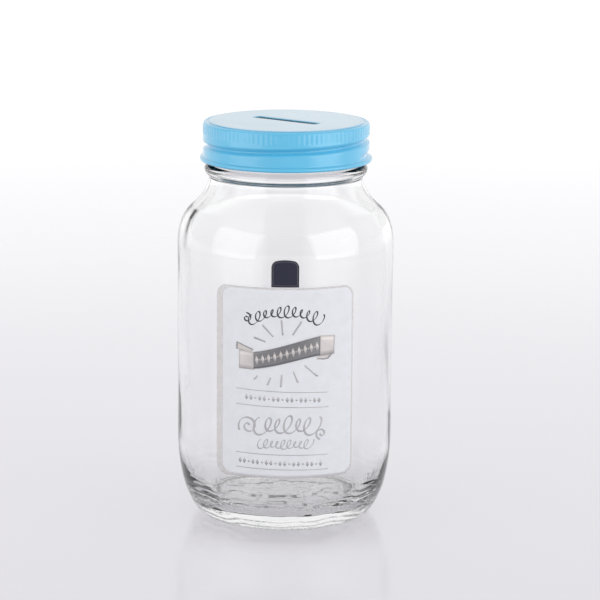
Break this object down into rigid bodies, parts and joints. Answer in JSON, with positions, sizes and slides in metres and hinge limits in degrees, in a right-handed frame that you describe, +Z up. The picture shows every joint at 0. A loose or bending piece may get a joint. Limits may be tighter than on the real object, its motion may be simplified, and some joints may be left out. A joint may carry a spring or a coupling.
{
  "type": "coin bank jar",
  "caption": "Clear glass screw-top jar with rounded heel and shoulders, closed by a threaded metal lid with a coin slot over a sealing ring; label on the front. Holds saved coins.",
  "frame": {"origin": "centre of the jar's footprint on the surface it stands on", "axes": "+Z up the jar's axis, towards the lid; the coin slot runs along X; the middle of the front label faces the direction 37 degrees round from -Y towards +X"},
  "size_m": [0.095, 0.0955, 0.176],
  "materials": {
    "clear_glass": "clear pressed soda glass",
    "blue_enamel": "gloss enamel on tinplate",
    "liner_rubber": "off-white moulded sealing compound",
    "label_film": "satin printed film",
    "navy_film": "satin printed film"
  },
  "bodies": {
    "jar": {"glass_jar": "clear_glass", "front_label": "label_film", "crest_sticker": "navy_film"},
    "ring": {"sealing_ring": "liner_rubber"},
    "lid": {"screw_lid": "blue_enamel"}
  },
  "joints": [
    {"name": "lid_lift", "type": "slide", "parent": "jar", "child": "ring", "axis": [0, 0, 1], "range_m": [0, 0.01905]},
    {"name": "lid_turn", "type": "hinge", "parent": "ring", "child": "lid", "pos_m": [0, 0, 0.1671], "axis": [0, 0, 1], "range_deg": [0, 1080]}
  ],
  "couplings": [
    {"joint": "lid_lift", "follows": "lid_turn", "m_per_rad": 0.0010106}
  ]
}
